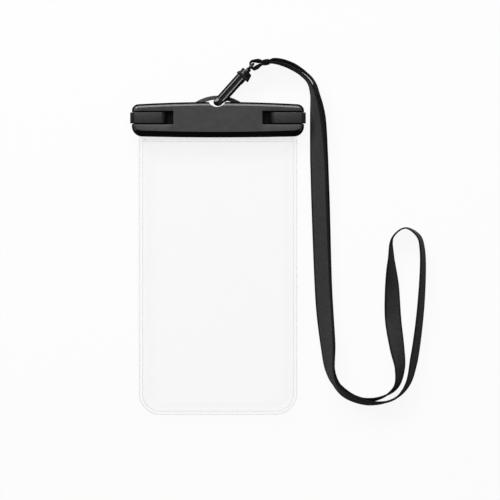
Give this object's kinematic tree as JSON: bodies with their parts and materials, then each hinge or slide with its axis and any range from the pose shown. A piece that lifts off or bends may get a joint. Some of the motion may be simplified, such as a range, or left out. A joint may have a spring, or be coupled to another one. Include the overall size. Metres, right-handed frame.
{
  "type": "waterproof phone case",
  "caption": "Clear welded pouch for a phone, shut by a black clamp bar with end levers, with a swivel hook and a doubled webbing lanyard clipped to its eyelet.",
  "frame": {"origin": "below the middle of the case without its lanyard, on the surface that it lies on", "axes": "+Y from the pouch's bottom weld to the clamp and eyelet, +X to the right seen from the front, +Z out of the front face"},
  "size_m": [0.1873, 0.2267, 0.0156],
  "materials": {
    "clamp_moulding": "black, finely textured moulding",
    "latch_moulding": "black satin moulding",
    "clear_film": "soft clear film, smooth",
    "silicone": "soft grey strip",
    "steel": "plain wire and pin",
    "hook_moulding": "black, lightly polished",
    "clip_moulding": "black crimped clip",
    "webbing": "black woven polyester webbing"
  },
  "bodies": {
    "case": {"back_bar": "clamp_moulding", "front_bar": "clamp_moulding", "seal_gasket": "silicone", "latch_pin_left": "steel", "latch_pin_right": "steel", "pouch_front_film": "clear_film", "pouch_back_film": "clear_film", "swivel_eye": "hook_moulding", "strap_clip": "clip_moulding", "lanyard_strap": "webbing"},
    "left_lever": {"latch_left": "latch_moulding"},
    "right_lever": {"latch_right": "latch_moulding"},
    "hook": {"hook_body": "hook_moulding", "gate_pin": "steel", "gate_spring": "steel"},
    "gate": {"hook_gate": "hook_moulding"}
  },
  "joints": [
    {"name": "latch_left_hinge", "type": "hinge", "parent": "case", "child": "left_lever", "pos_m": [-0.0532, 0.0871, 0.0029], "axis": [0, -1, 0], "range_deg": [0, 90]},
    {"name": "latch_right_hinge", "type": "hinge", "parent": "case", "child": "right_lever", "pos_m": [0.0532, 0.0871, 0.0029], "axis": [0, 1, 0], "range_deg": [0, 45]},
    {"name": "hook_swivel", "type": "hinge", "parent": "case", "child": "hook", "pos_m": [-0.0013, 0.0953, 0.00615], "axis": [0.6649, 0.7437, 0.0698], "range_deg": [-7, 3]},
    {"name": "gate_hinge", "type": "hinge", "parent": "hook", "child": "gate", "pos_m": [0.01458, 0.11277, 0.004], "axis": [-0.742, 0.6683, -0.0522], "range_deg": [0, 20], "stiffness_Nm_per_rad": 0.02, "deforming": ["gate_spring"]}
  ]
}
